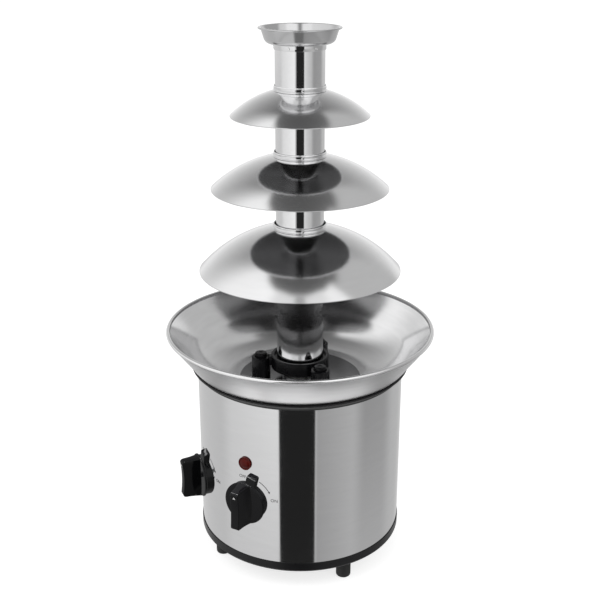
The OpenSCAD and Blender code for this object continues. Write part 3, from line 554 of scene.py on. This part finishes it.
def make_bowl():
    hole, flat, wall_end = 12.15, 40.0, -32
    wall_to, bead_from = 130, 131
    below = BOWL_FLOOR - BOWL_WALL
    inside = ([(hole, BOWL_FLOOR), (flat, BOWL_FLOOR)]
              + arc(*DISH_CENTRE, DISH_R, -90, wall_end, 22))
    bead = arc(133.0, 243.5, 2.0, 232, -75, 18)
    outside = (arc(*DISH_CENTRE, DISH_R + BOWL_WALL, wall_end, -90, 22)
               + [(flat, below), (hole, below)])
    bowl = turned("dished_bowl", inside + bead + outside + [inside[0]], steps=256)
    finished(bowl, steel_bowl, "base", "bowl_steel", "bowl")
    bowl.data.materials.append(steel_painted_shade)
    bowl.data.materials.append(steel_satin)
    # Painted shade: the floor under the tiers and the inward and lower faces of the rim bead take
    # the dark steel; the outside below takes the rougher satin
    for face in bowl.data.polygons:
        x, y, facing = face.center.x, face.center.y, face.normal
        away = math.hypot(x, y) / MM
        inward = -(facing.x * x + facing.y * y) / away / MM
        painted_shade_floor = away < FLOOR_R and facing.z > 0.9
        painted_shade_crease = away > bead_from and (inward > 0.7 or facing.z < -0.5)
        if painted_shade_floor or painted_shade_crease:
            face.material_index = 1
        elif facing.z < -0.1 and away < wall_to:
            face.material_index = 2


# Tower

def make_tube():
    edge, pip_r, pip_edge, pip_drop = 0.2, 2.0, 0.5, 5.3
    tube = turned("polished_tube",
                  [(TUBE_INNER, TUBE_LOW), (TUBE_R, TUBE_LOW), (TUBE_R, TUBE_TOP - edge),
                   (TUBE_R - edge, TUBE_TOP), (TUBE_INNER, TUBE_TOP), (TUBE_INNER, TUBE_LOW)])
    pips = []
    for _, _, top, sleeve in TIERS.values():
        reach = sleeve + PIP_CATCH
        pip = turned("pip", [(pip_r, TUBE_R - 0.4), (pip_r, reach - pip_edge)]
                     + arc(pip_r - pip_edge, reach - pip_edge, pip_edge, 0, 90, 3)
                     + [(0.0, reach)], steps=24)
        placed(pip, Matrix.Translation((0, 0, (top - pip_drop) * MM)) @ turn_about("X", 90))
        pips += repeated(pip, [turn_about("Z", turn) for turn in (0, 120, 240)])
    tube = joined("polished_tube", tube, *pips)
    finished(tube, steel_tube, "tower", "tube_steel", "tower_tube")


def make_dome(tier, inside):
    """A cap of a sphere with a rolled hem, and painted shade below: its underside takes the darker
    material given as inside.
    """
    sheet, hem = 0.8, 1.0
    across, height, top, sleeve = TIERS[tier]
    hole = sleeve + SLEEVE_WALL + DOME_FIT
    rim, low = across / 2, top - height
    edge_r, edge_z = rim - 0.2, low + hem
    zc = (top * top - edge_z ** 2 + hole * hole - edge_r ** 2) / (2 * (top - edge_z))
    cap = math.hypot(hole, top - zc)
    start = math.degrees(math.atan2(top - zc, hole))
    end = math.degrees(math.atan2(edge_z - zc, edge_r))
    outer = arc(0, zc, cap, start, end, 30)
    roll = arc(rim - hem, low + hem, hem, 0, -180, 8)
    under = arc(0, zc, cap - sheet, end + 0.25, start, 30)
    dome = turned(tier + "_cap", outer + roll + under + [outer[0]], steps=224)
    finished(dome, steel_dome, tier + "_tier", "dome_steel", tier + "_dome")
    # Painted shade: the faces that look down, inside the hem, take the darker material
    dome.data.materials.append(inside)
    for face in dome.data.polygons:
        away = math.hypot(face.center.x, face.center.y) / MM
        face.material_index = int(face.normal.z < -0.1 and away < rim - 2 * hem)


def make_welds(out, z, turns):
    """The spot welds of a sleeve, shallow round dimples."""
    weld = turned("weld", [(0.0, 0.16), (0.6, 0.18), (0.95, 0.26), (1.25, 0.12), (1.4, -0.2),
                           (0.0, -0.2), (0.0, 0.16)], steps=20)
    return repeated(weld, [round_axis(VIEW_ANGLE + turn, out, z) @ turn_about("X", 90)
                           for turn in turns])


def make_sleeve(tier):
    """A collar with a bead at its foot, a groove below its rim and four welds."""
    _, _, top, inner = TIERS[tier]
    outer = inner + SLEEVE_WALL
    wall = outer + 0.2
    tail = top - 3
    bead = [(outer + 0.55, top + 0.2)] + arc(outer + 0.25, top + 0.6, 0.4, -30, 90, 4)
    groove = [(wall, top + 3.75), (outer - 0.05, top + 4.0), (outer + 0.15, top + 4.25)]
    rim = [(outer + 0.1, top + 4.8), (outer - 0.05, top + 5.0), (inner + 0.3, top + 5.0)]
    sleeve = turned(tier + "_sleeve",
                    [(inner, tail), (outer, tail), (outer, top + 0.15)] + bead
                    + [(outer, top + 1.1), (wall, top + 1.45)] + groove + rim
                    + [(inner, top + 4.4), (inner, tail)])
    sleeve = joined(tier + "_sleeve", sleeve, *make_welds(wall, top + 2.6, (6, 96, 186, 276)))
    finished(sleeve, steel_collar, tier + "_tier", "collar_steel", tier + "_collar")


def make_cup():
    sheet, bend = 0.8, 6.0
    foot = (27.0, CUP_LOW + bend + sheet)
    start = (TUBE_INNER, CUP_LOW + sheet)
    inside = arc(*foot, bend, -90, -22, 10)
    brim = [(35.4, CUP_TOP - 1.2), (35.9, CUP_TOP - 0.3), (36.6, CUP_TOP - 0.02)]
    lip = arc(38.2, CUP_TOP - sheet, sheet, 90, -110, 8)
    below = [(37.0, CUP_TOP - 0.9), (36.3, CUP_TOP - 1.4)]
    outside = arc(*foot, bend + sheet, -22, -90, 10)
    cup = turned("flared_cup", [start] + inside + brim + lip + below + outside
                 + [(TUBE_INNER, CUP_LOW), start], steps=192)
    finished(cup, steel_cup, "top_cup", "dome_steel", "cup")


def make_cup_sleeve():
    inner = TUBE_R + 0.3
    outer = inner + SLEEVE_WALL
    tail, top = CUP_LOW - 5, CUP_LOW - 0.1
    sleeve = turned("cup_sleeve", [(inner, tail), (outer - 0.1, tail), (outer, tail + 0.2),
                                   (outer, top), (inner, top), (inner, tail)])
    welds = make_welds(outer, CUP_LOW - 2.6, (-25, 38, 100, 155, 215, 275))
    sleeve = joined("cup_sleeve", sleeve, *welds)
    finished(sleeve, steel_collar, "top_cup", "collar_steel", "cup_collar")


def make_seat():
    low, top, outer, tube_fit = 200.0, 213.5, 29.5, TUBE_R + 0.05
    foot, cap, bore, sleeve_r = BOWL_FLOOR + 0.3, 211.0, 6.3, 9.5
    arm_out, arm_z = 30.4, 206.5
    ring = turned("seat", [(TUBE_INNER, low), (outer - 0.5, low), (outer, low + 0.5),
                           (outer, top - 0.6), (outer - 0.6, top), (26.6, top), (26.1, top - 0.5),
                           (26.0, top - 3.0), (24.0, top - 3.3), (tube_fit, top - 3.9),
                           (tube_fit, TUBE_LOW), (TUBE_INNER, TUBE_LOW), (TUBE_INNER, low)],
                  steps=128)
    sleeve = turned("sleeve", [(bore, foot), (sleeve_r - 0.6, foot), (sleeve_r, foot + 0.6),
                               (sleeve_r, cap - 0.8), (sleeve_r - 0.8, cap), (bore + 0.6, cap),
                               (bore, cap - 0.6), (bore, foot)], steps=64)
    arm = rounded(block("arm", (9.0, 6.5, 9.0), (0, 0, arm_z)), 0.8)
    parts = repeated(sleeve, [round_axis(turn, POST_OUT) for turn in POST_TURNS])
    parts += repeated(arm, [round_axis(turn, arm_out) for turn in POST_TURNS])
    finished(joined("seat_ring", ring, *parts), black_seat, "tower", "black_seat", "tower_seat")


def make_posts():
    stud_r, post_r, low, top, edge = 3.0, 6.0, 180.0, 215.0, 1.2
    post = turned("post", [(0.0, low), (stud_r, low), (stud_r, BOWL_FLOOR), (post_r, BOWL_FLOOR),
                           (post_r, top - 1.4)] + arc(post_r - edge, top - edge, edge, 0, 90, 5)
                  + [(2.4, top), (2.0, top - 0.6), (0.0, top - 0.6)], steps=48)
    parts = repeated(post, [round_axis(turn, POST_OUT) for turn in POST_TURNS])
    finished(joined("seat_posts", *parts), black_seat, "base", "black_seat", "tower_posts")


def make_feet():
    r, top, edge = 7.5, 22.0, 2.0
    groove = [(r, 15.5), (r - 0.3, 16.0), (r, 16.5)]
    foot = turned("foot", [(0.0, 0.0)] + arc(r - edge, edge, edge, -90, 0, 5) + groove
                  + [(r, top - 0.4), (r - 0.4, top), (0.0, top)], steps=64)
    parts = repeated(foot, [turn_about("Z", FOOT_TURN)
                            @ Matrix.Translation((x * FOOT_X * MM, y * FOOT_Y * MM, 0))
                            for x in (1, -1) for y in (1, -1)])
    finished(joined("rubber_feet", *parts), black_rubber, "base", "foot_rubber", "feet")


# Controls; rings, knobs and pointers are kept out of the mirror of the drum

def make_lamp():
    stem = [(0.0, -1.5), (4.9, -1.5), (4.9, 0.1)]
    rim = [(6.6, 0.1), (6.8, 0.4), (6.8, 1.3)] + arc(6.3, 1.5, 0.5, 0, 130, 5)
    face = [(5.7, 1.6), (5.5, 1.35), (5.2, 1.45), (4.4, 2.1), (3.0, 2.55), (1.5, 2.75), (0.0, 2.8)]
    lens = turned("lamp_cap", stem + rim + face, steps=64)
    placed(lens, on_drum(LAMP_TURN, LAMP_Z))
    finished(lens, lens_red, "base", "lens_red", "lamp_lens")


def make_bezel(name, turn, cad):
    """A ring with a tab near its top, drawn as one outline, and a sloped end on the tab."""
    corner, neck_r = 2.2, 5.1
    side, end = TAB_W / 2, BEZEL_R + TAB_OUT
    join = math.degrees(math.asin(side / BEZEL_R))
    slope = math.radians(TAB_SLOPE)
    outline = (arc(0, 0, BEZEL_R, 90 + join, 450 - join, 110)
               + arc(side - corner, end - corner, corner, 0, 90, 5)
               + arc(corner - side, end - corner, corner, 90, 180, 5))
    ring = plate(name, outline, -5.0, BEZEL_T)
    sliced(ring, (0, end, 1.0), (0, math.cos(slope), math.sin(slope)), trim=True)
    rounded(ring, 1.0, 4, 40)
    placed(ring, turn_about("Z", -TAB_TURN))
    cut(ring, rod("drum", DRUM_R, 160, (0, 0, -DRUM_R), (90, 0, 0), 360))
    cut(ring, rod("neck", neck_r, 40, (0, 0, 0)))
    smooth(ring, 40)
    ring.visible_glossy = False
    placed(ring, on_drum(turn, KNOB_Z))
    finished(ring, black_knob, "base", "knob_black", cad)


def grip_height(y):
    return GRIP_OUT - GRIP_WAIST * (1 - (y / GRIP_END) ** 2)


def make_grip():
    """A wing that flares into its skirt: a side outline cut in sections, each set to its width."""
    foot = SKIRT_Z + SKIRT_T - 1.0
    foot_half, foot_draw, edge_half, edge_draw, flare = 9.6, 2.8, 4.7, 0.5, 2.8
    corner = 3.0
    bend = GRIP_END - 0.8 - corner
    top = grip_height(bend) - corner
    outline = ([(-GRIP_END, foot), (GRIP_END, foot)] + arc(bend, top, corner, 0, 90, 6)
               + [(y, grip_height(y)) for y in range(15, -16, -3)]
               + arc(-bend, top, corner, 90, 180, 6))
    on_edge = Matrix(((0, 0, 1, 0), (1, 0, 0, 0), (0, 1, 0, 0), (0, 0, 0, 1)))
    grip = placed(plate("grip", outline, -1.0, 1.0), on_edge)
    for y in range(-18, 19, 3):
        sliced(grip, (0, y, 0), (0, 1, 0))
    for z in (7.9, 8.8, 10.0, 11.6, 13.6, 16.2, 19.4, 23.5):
        sliced(grip, (0, 0, z), (0, 0, 1))
    for v in grip.data.vertices:
        y, z = v.co.y / MM, v.co.z / MM
        along = (y / GRIP_END) ** 2
        depth = max(0.0, GRIP_OUT - z) / (GRIP_OUT - foot)
        edge = edge_half - edge_draw * along
        half = edge + (foot_half - foot_draw * along - edge) * depth ** flare
        v.co.x = math.copysign(half, v.co.x) * MM
    grip.data.update()
    return rounded(grip, 1.0, 4, 50, 50)


def make_knob(name, turn, body, cad):
    bore, low, top = 3.2, SKIRT_Z + 0.3, SKIRT_Z + SKIRT_T
    skirt = turned("skirt", [(bore, low), (KNOB_R - 0.5, low), (KNOB_R - 0.3, SKIRT_Z)]
                   + arc(KNOB_R - 0.4, SKIRT_Z + 0.4, 0.4, -60, 0, 3)
                   + arc(KNOB_R - 1.1, top - 1.1, 1.1, 0, 80, 5)
                   + [(KNOB_R - 3.0, top + 0.05), (bore, top + 0.1), (bore, low)], steps=128)
    knob = joined(name, skirt, make_grip())
    knob.visible_glossy = False
    placed(knob, on_drum(turn, KNOB_Z))
    finished(knob, black_knob, body, "knob_black", cad)


def make_pointer(name, turn, body):
    at = 15.0
    height = grip_height(at) + 0.02
    tilt = math.atan2(2 * GRIP_WAIST * at, GRIP_END ** 2)
    clear_selection()
    bpy.ops.mesh.primitive_cone_add(vertices=3, radius1=1.75 * MM, radius2=1.6 * MM, depth=0.3 * MM,
                                    location=(0, at * MM, height * MM), rotation=(tilt, 0, 0))
    bpy.ops.object.transform_apply(location=True, rotation=True, scale=True)
    mark = rounded(named(bpy.context.object, name), 0.12, 2)
    mark.visible_glossy = False
    placed(mark, on_drum(turn, KNOB_Z))
    finished(mark, pointer_white, body, "knob_black")


def make_word(name, word, x, y, turn):
    clear_selection()
    bpy.ops.object.text_add()
    mark = bpy.context.object
    mark.name = name
    mark.data.body = word
    mark.data.size = 4.6 * MM
    mark.data.align_x = "CENTER"
    mark.data.align_y = "CENTER"
    mark.data.extrude = 0.02 * MM
    mark.location = (x * MM, y * MM, 0)
    bpy.ops.object.convert(target="MESH")
    bpy.ops.object.transform_apply(location=True, rotation=True, scale=True)
    wrapped_on_drum(mark, turn, KNOB_Z)
    finished(mark, print_black, "base", "wrap_steel")


def make_arrow(name, turn):
    """An arc of a circle round the knob with a head at its lower end."""
    reach, width, start, end, head_r, ink = 26.0, 0.65, 62.0, 32.0, 1.5, 0.03
    ribbon = begin_point(name, reach - width / 2, 0)
    extrude(width, 0, 0)
    bpy.ops.mesh.select_all(action="SELECT")
    bpy.ops.mesh.spin(steps=24, angle=math.radians(start - end), center=(0, 0, 0), axis=(0, 0, 1))
    bpy.ops.object.mode_set(mode="OBJECT")
    placed(ribbon, turn_about("Z", start))
    clear_selection()
    bpy.ops.mesh.primitive_circle_add(vertices=3, radius=head_r * MM, fill_type="NGON")
    tip = turn_about("Z", end - 2) @ Matrix.Translation((reach * MM, 0, 0))
    head = placed(bpy.context.object, tip @ turn_about("Z", 180))
    mark = joined(name, ribbon, head)
    step = mark.modifiers.new("ink", "SOLIDIFY")
    step.thickness = ink * MM
    pick(mark)
    bpy.ops.object.modifier_apply(modifier=step.name)
    wrapped_on_drum(mark, turn, KNOB_Z)
    finished(mark, print_black, "base", "wrap_steel")


make_drum()
make_top_ring()
make_bowl()
make_tube()
# The undersides of the domes take painted shade, a dark steel colour
make_dome("lower", steel_painted_shade_inside)
make_dome("middle", steel_painted_shade_under)
make_dome("upper", steel_painted_shade_under)
for tier_name in TIERS:
    make_sleeve(tier_name)
make_cup()
make_cup_sleeve()
make_seat()
make_posts()
make_feet()
make_lamp()
for side, side_turn in (("motor", -KNOB_TURN), ("heat", KNOB_TURN)):
    make_bezel(side + "_ring", side_turn, side + "_bezel")
    make_knob(side + "_grip", side_turn, side + "_dial", side + "_knob")
    make_pointer(side + "_pointer", side_turn, side + "_dial")
    make_word(side + "_on", "ON", 27.6, 4.5, side_turn)
    make_word(side + "_off", "OFF", -6.2, 24.4, side_turn)
    make_arrow(side + "_arrow", side_turn)


# Studio, in metres

VIEW_TURN = math.radians(VIEW_ANGLE)
TOWARDS_VIEW = (math.sin(VIEW_TURN), -math.cos(VIEW_TURN), 0.0)
VIEW_RIGHT = (math.cos(VIEW_TURN), math.sin(VIEW_TURN), 0.0)
VIEW_OUT, VIEW_HEIGHT, VIEW_TILT, VIEW_LENS = 0.9467, 0.6281, 69.384, 60.37

# Light on dull surfaces, and what the camera sees of the room and adds to the floor
DULL_LIGHT, BACKDROP, FLOOR_GLOW = 0.72, 1.0, 0.75

# Cards that the metal mirrors, each over the last. Left, right, low and high side: its angle from
# the view or from the floor, and how soft it is. Then the light at the left and the right side.
CARDS = (
    ((60, 20), (105, 25), (-22, 20), (8, 6), 0.34, 0.38),
    ((-78, 25), (-24, 3), (-18, 30), (8, 6), 0.84, 1.02),
    ((-105, 40), (-38, 20), (8, 6), (65, 6), 1.0, 1.12),
    ((19, 3), (45, 25), (-16, 12), (8, 6), 0.80, 0.60),
    ((20, 3), (60, 20), (-60, 10), (-26, 12), 0.42, 0.54),
    ((34, 20), (68, 25), (8, 6), (65, 6), 1.14, 0.96),
    ((85, 15), (130, 20), (15, 8), (60, 8), 0.52, 0.52),
    # Overhead, on the front of the lower dome
    ((-40, 20), (40, 20), (56, 8), (66, 7), 0.84, 0.84),
    ((-5, 9), (5, 9), (50, 8), (66, 7), 0.40, 0.40),
    # Low, on the outside of the cup
    ((-200, 1), (200, 1), (-54, 4), (-42, 4), 0.22, 0.22),
    ((-100, 35), (-26, 10), (-54, 4), (-42, 4), 0.74, 0.74),
    ((18, 10), (100, 35), (-54, 4), (-42, 4), 0.42, 0.54),
    # Softboxes on both sides of the view
    ((-36, 12), (-14, 14), (14, 8), (44, 6), 1.25, 1.25),
    ((14, 14), (42, 12), (14, 8), (44, 6), 1.3, 1.3),
    # The dark gap between them, on the drum and on the tube
    ((-22.5, 1.5), (16, 1.5), (-38, 2), (-24.5, 1.5), 0.02, 0.02),
    ((-15, 4), (17, 4), (-25, 1.5), (4, 10), 0.02, 0.02),
)


def make_floor():
    clear_selection()
    bpy.ops.mesh.primitive_circle_add(vertices=96, radius=14.0, fill_type="NGON")
    floor = bpy.context.object
    floor.name = "floor"
    floor.visible_glossy = False
    material, tree, shader = begin_material("pale_floor")
    shader.inputs["Roughness"].default_value = 0.9
    shader.inputs["Specular IOR Level"].default_value = 0.1
    cloud = noise(tree, object_place(tree), 3.0)
    plug(tree, shader.inputs["Base Color"],
         tone(tree, cloud, (0.48, 0.48, 0.48), (0.50, 0.50, 0.50)))
    glow = node(tree, "ShaderNodeEmission")
    seen = node(tree, "ShaderNodeLightPath").outputs["Is Camera Ray"]
    plug(tree, glow.inputs["Strength"], maths(tree, "MULTIPLY", seen, FLOOR_GLOW))
    both = node(tree, "ShaderNodeAddShader")
    out = next(n for n in tree.nodes if n.type == "OUTPUT_MATERIAL")
    plug(tree, both.inputs[0], shader.outputs[0])
    plug(tree, both.inputs[1], glow.outputs[0])
    plug(tree, out.inputs["Surface"], both.outputs[0])
    floor.data.materials.append(material)


def blend_levels(tree, factor, a, b):
    mix = node(tree, "ShaderNodeMix", data_type="FLOAT")
    plug(tree, mix.inputs["Factor"], factor)
    plug(tree, mix.inputs["A"], a)
    plug(tree, mix.inputs["B"], b)
    return mix.outputs["Result"]


def make_world():
    """White to the eye, even light on dull surfaces, and cards round a room in the metal."""
    world = bpy.data.worlds.new("studio")
    bpy.context.scene.world = world
    world.use_nodes = True
    tree = world.node_tree
    tree.nodes.clear()
    way = node(tree, "ShaderNodeTexCoord").outputs["Generated"]
    side = vectors(tree, "DOT_PRODUCT", way, VIEW_RIGHT)
    front = vectors(tree, "DOT_PRODUCT", way, TOWARDS_VIEW)
    turn = maths(tree, "MULTIPLY", maths(tree, "ARCTAN2", side, front), 180 / math.pi)
    rise = maths(tree, "MULTIPLY", maths(tree, "ARCSINE", split(tree, way)[2]), 180 / math.pi)

    def card(behind, left, right, low, high, glow_left, glow_right):
        across = maths(tree, "MULTIPLY", span(tree, turn, left[0] - left[1], left[0]),
                       span(tree, turn, right[0] + right[1], right[0]))
        upright = maths(tree, "MULTIPLY", span(tree, rise, low[0] - low[1], low[0]),
                        span(tree, rise, high[0] + high[1], high[0]))
        glow = span(tree, turn, left[0], right[0], glow_left, glow_right, soft=False)
        return blend_levels(tree, maths(tree, "MULTIPLY", across, upright), behind, glow)

    # The room: a ceiling that darkens upwards, walls, and a ground that darkens to the right
    dim = maths(tree, "SUBTRACT", 1.0, maths(tree, "DIVIDE", rise, 90.0))
    ceiling = maths(tree, "MULTIPLY_ADD", maths(tree, "MULTIPLY", dim, dim), 0.84, 0.10)
    ground = maths(tree, "ADD", span(tree, side, -0.6, 0.0, 0.95, 1.02),
                   span(tree, side, 0.0, 0.6, 0.0, -0.38))
    walls = maths(tree, "ADD", span(tree, turn, -180.0, 60.0, 0.70, 0.56, soft=False),
                  span(tree, turn, 140.0, 180.0, 0.0, 0.14))
    level = blend_levels(tree, span(tree, rise, -62.0, -45.0), ground, walls)
    level = blend_levels(tree, span(tree, rise, -10.0, 2.0), level, ceiling)
    for sides in CARDS:
        level = card(level, *sides)
    rays = node(tree, "ShaderNodeLightPath")
    lit = blend_levels(tree, rays.outputs["Is Glossy Ray"], DULL_LIGHT, level)
    lit = blend_levels(tree, rays.outputs["Is Camera Ray"], lit, BACKDROP)
    back = node(tree, "ShaderNodeBackground")
    plug(tree, back.inputs["Color"], lit)
    plug(tree, node(tree, "ShaderNodeOutputWorld").inputs["Surface"], back.outputs[0])


def make_softbox(name, turn, distance, height, size, power, only=()):
    """A square light that points at the drum, for all pieces or for the highlights of a few."""
    aim = 0.25
    lamp = bpy.data.lights.new(name, "AREA")
    lamp.energy = power
    lamp.size = size
    holder = bpy.data.objects.new(name, lamp)
    bpy.context.scene.collection.objects.link(holder)
    a = VIEW_TURN + math.radians(turn)
    holder.location = (distance * math.sin(a), -distance * math.cos(a), height)
    holder.rotation_euler = (math.atan2(distance, height - aim), 0, a)
    holder.visible_camera = False
    holder.visible_glossy = bool(only)
    if only:
        lit = bpy.data.collections.new(name + "_lights")
        for piece in only:
            lit.objects.link(bpy.data.objects[piece])
        holder.light_linking.receiver_collection = lit
        holder.light_linking.blocker_collection = lit


def make_camera():
    view = bpy.data.cameras.new("view")
    view.lens = VIEW_LENS
    view.sensor_width = 36.0
    view.clip_end = 60.0
    holder = bpy.data.objects.new("view", view)
    bpy.context.scene.collection.objects.link(holder)
    holder.location = (VIEW_OUT * TOWARDS_VIEW[0], VIEW_OUT * TOWARDS_VIEW[1], VIEW_HEIGHT)
    holder.rotation_euler = (math.radians(VIEW_TILT), 0, VIEW_TURN)
    bpy.context.scene.camera = holder


HEAT_CONTROL = ("heat_ring", "heat_grip")
MOTOR_CONTROL = ("motor_ring", "motor_grip")

make_floor()
make_world()
make_softbox("key_softbox", -50, 1.5, 1.9, 1.2, 12.0)
make_softbox("fill_softbox", 55, 1.6, 1.6, 1.2, 7.0)
make_softbox("black_softbox", -127, 0.6, 1.4, 0.8, 30.0, MOTOR_CONTROL + HEAT_CONTROL)
make_softbox("tab_softbox", -52, 0.3, 1.4, 0.6, 40.0, HEAT_CONTROL)
make_camera()
bpy.context.scene.view_settings.view_transform = "Standard"
